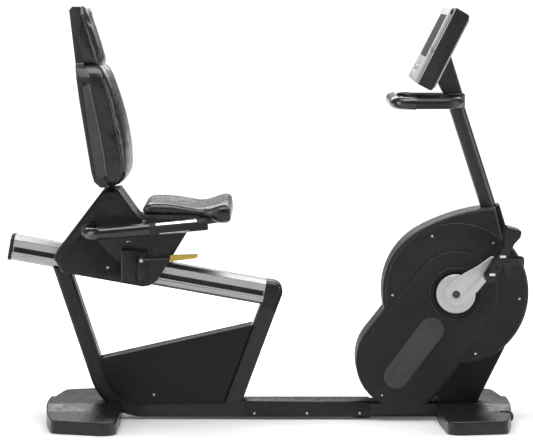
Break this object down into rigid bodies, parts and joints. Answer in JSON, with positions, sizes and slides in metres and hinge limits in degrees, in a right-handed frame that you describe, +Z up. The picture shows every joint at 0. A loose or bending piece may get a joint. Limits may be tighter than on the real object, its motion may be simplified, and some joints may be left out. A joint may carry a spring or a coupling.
{
  "type": "recumbent exercise bike",
  "caption": "Recumbent exercise bike with a sliding seat and backrest, side hand grips, belt-driven crank and pedals, loop handlebar and console.",
  "frame": {"origin": "on the floor, under the middle of the machine's bounding box", "axes": "+X forward (the way the rider faces), +Y to the rider's left, +Z up"},
  "size_m": [1.704, 0.7226, 1.357],
  "materials": {
    "frame_grey": "satin dark grey paint",
    "cast_dark": "satin dark powder-coated cast aluminium",
    "black_plastic": "matte black moulded plastic",
    "charcoal_plastic": "fine-grained charcoal moulded plastic",
    "badge_grey": "satin mid-grey plate",
    "rubber": "matte black rubber",
    "rail_metal": "clear anodised extruded aluminium",
    "rack_black": "black finished steel",
    "bright_steel": "machined steel",
    "drive_steel": "black painted steel",
    "cast_silver": "bright machined aluminium",
    "cap_black": "glossy black plastic",
    "screw_black": "zinc-plated screw heads",
    "console_silver": "light silver painted plastic",
    "screen_glass": "dark display window",
    "upholstery": "glossy dark grey vinyl",
    "yellow_plastic": "yellow moulded plastic"
  },
  "bodies": {
    "frame": {"base_beam": "frame_grey", "rear_leg": "frame_grey", "front_leg": "frame_grey", "rail_caps": "black_plastic", "infill_panels": "frame_grey", "step_cover": "black_plastic", "rear_foot": "cast_dark", "front_foot": "cast_dark", "foot_pads": "rubber", "rail": "rail_metal", "gear_racks": "rack_black", "pedestal": "frame_grey", "mast": "frame_grey", "mast_shroud": "black_plastic", "drive_frame": "drive_steel", "bearings": "bright_steel", "cover_right": "charcoal_plastic", "cover_left": "charcoal_plastic", "belt_covers": "charcoal_plastic", "badges": "badge_grey", "frame_screws": "screw_black", "drive_belt": "rubber", "handlebar": "frame_grey", "handlebar_grip": "rubber", "console_front": "console_silver", "console_rear": "charcoal_plastic", "console_screen": "screen_glass", "console_neck": "black_plastic"},
    "carriage": {"casing_right": "charcoal_plastic", "casing_left": "charcoal_plastic", "carriage_frame": "drive_steel", "glide_pads": "black_plastic", "lock_box": "black_plastic", "casing_fixings": "screw_black", "side_handles": "drive_steel", "side_grips": "rubber", "hand_sensors": "cast_silver", "seat_shell": "charcoal_plastic", "seat_cushion": "upholstery", "backrest_shell": "charcoal_plastic", "backrest_pad": "upholstery"},
    "crank": {"crank_axle": "bright_steel", "crank_arms": "cast_silver", "crank_bolts": "cap_black", "drive_pulley": "cast_silver"},
    "pedal_r": {"pedal_right": "black_plastic", "strap_right": "rubber"},
    "pedal_l": {"pedal_left": "black_plastic", "strap_left": "rubber"},
    "generator": {"generator_rotor": "drive_steel", "generator_shaft": "bright_steel"},
    "idler": {"idler_roller": "cap_black"},
    "transport_wheel_r": {"wheel_right": "black_plastic"},
    "transport_wheel_l": {"wheel_left": "black_plastic"},
    "key_down": {"down_key": "console_silver"},
    "key_stop": {"stop_key": "console_silver"},
    "key_up": {"up_key": "console_silver"},
    "lever": {"lever_rod": "drive_steel", "lever_grip": "yellow_plastic"},
    "lock": {"lock_pin": "bright_steel"}
  },
  "joints": [
    {"name": "seat_slide", "type": "slide", "parent": "frame", "child": "carriage", "axis": [0.9844, 0, -0.1762], "range_m": [-0.11, 0.25]},
    {"name": "lever_hinge", "type": "hinge", "parent": "carriage", "child": "lever", "pos_m": [-0.41, -0.126, 0.535], "axis": [0, -1, 0], "range_deg": [0, 18], "stiffness_Nm_per_rad": 1.5, "springref_deg": -20.05},
    {"name": "lock_pin_slide", "type": "slide", "parent": "carriage", "child": "lock", "axis": [0, -1, 0], "range_m": [0, 0.008]},
    {"name": "crank_spin", "type": "hinge", "parent": "frame", "child": "crank", "pos_m": [0.613, 0, 0.422], "axis": [0, 1, 0], "continuous": true},
    {"name": "pedal_right_spin", "type": "hinge", "parent": "crank", "child": "pedal_r", "pos_m": [0.73492, -0.116, 0.5225], "axis": [0, 1, 0], "continuous": true},
    {"name": "pedal_left_spin", "type": "hinge", "parent": "crank", "child": "pedal_l", "pos_m": [0.49108, 0.116, 0.3215], "axis": [0, 1, 0], "continuous": true},
    {"name": "generator_spin", "type": "hinge", "parent": "frame", "child": "generator", "pos_m": [0.446, 0, 0.198], "axis": [0, 1, 0], "continuous": true},
    {"name": "idler_spin", "type": "hinge", "parent": "frame", "child": "idler", "pos_m": [0.54972, -0.045, 0.21604], "axis": [0, 1, 0], "continuous": true},
    {"name": "wheel_right_spin", "type": "hinge", "parent": "frame", "child": "transport_wheel_r", "pos_m": [0.778, -0.15, 0.028], "axis": [0, 1, 0], "continuous": true},
    {"name": "wheel_left_spin", "type": "hinge", "parent": "frame", "child": "transport_wheel_l", "pos_m": [0.778, 0.15, 0.028], "axis": [0, 1, 0], "continuous": true},
    {"name": "down_key_press", "type": "slide", "parent": "frame", "child": "key_down", "axis": [0.8934, 0, -0.4493], "range_m": [0, 0.0015], "stiffness_N_per_m": 900},
    {"name": "stop_key_press", "type": "slide", "parent": "frame", "child": "key_stop", "axis": [0.8934, 0, -0.4493], "range_m": [0, 0.0015], "stiffness_N_per_m": 900},
    {"name": "up_key_press", "type": "slide", "parent": "frame", "child": "key_up", "axis": [0.8934, 0, -0.4493], "range_m": [0, 0.0015], "stiffness_N_per_m": 900}
  ],
  "couplings": [
    {"joint": "generator_spin", "follows": "crank_spin", "ratio": 4.0385},
    {"joint": "idler_spin", "follows": "crank_spin", "ratio": -5.8333},
    {"joint": "lock_pin_slide", "follows": "lever_hinge", "m_per_rad": 0.02546}
  ]
}
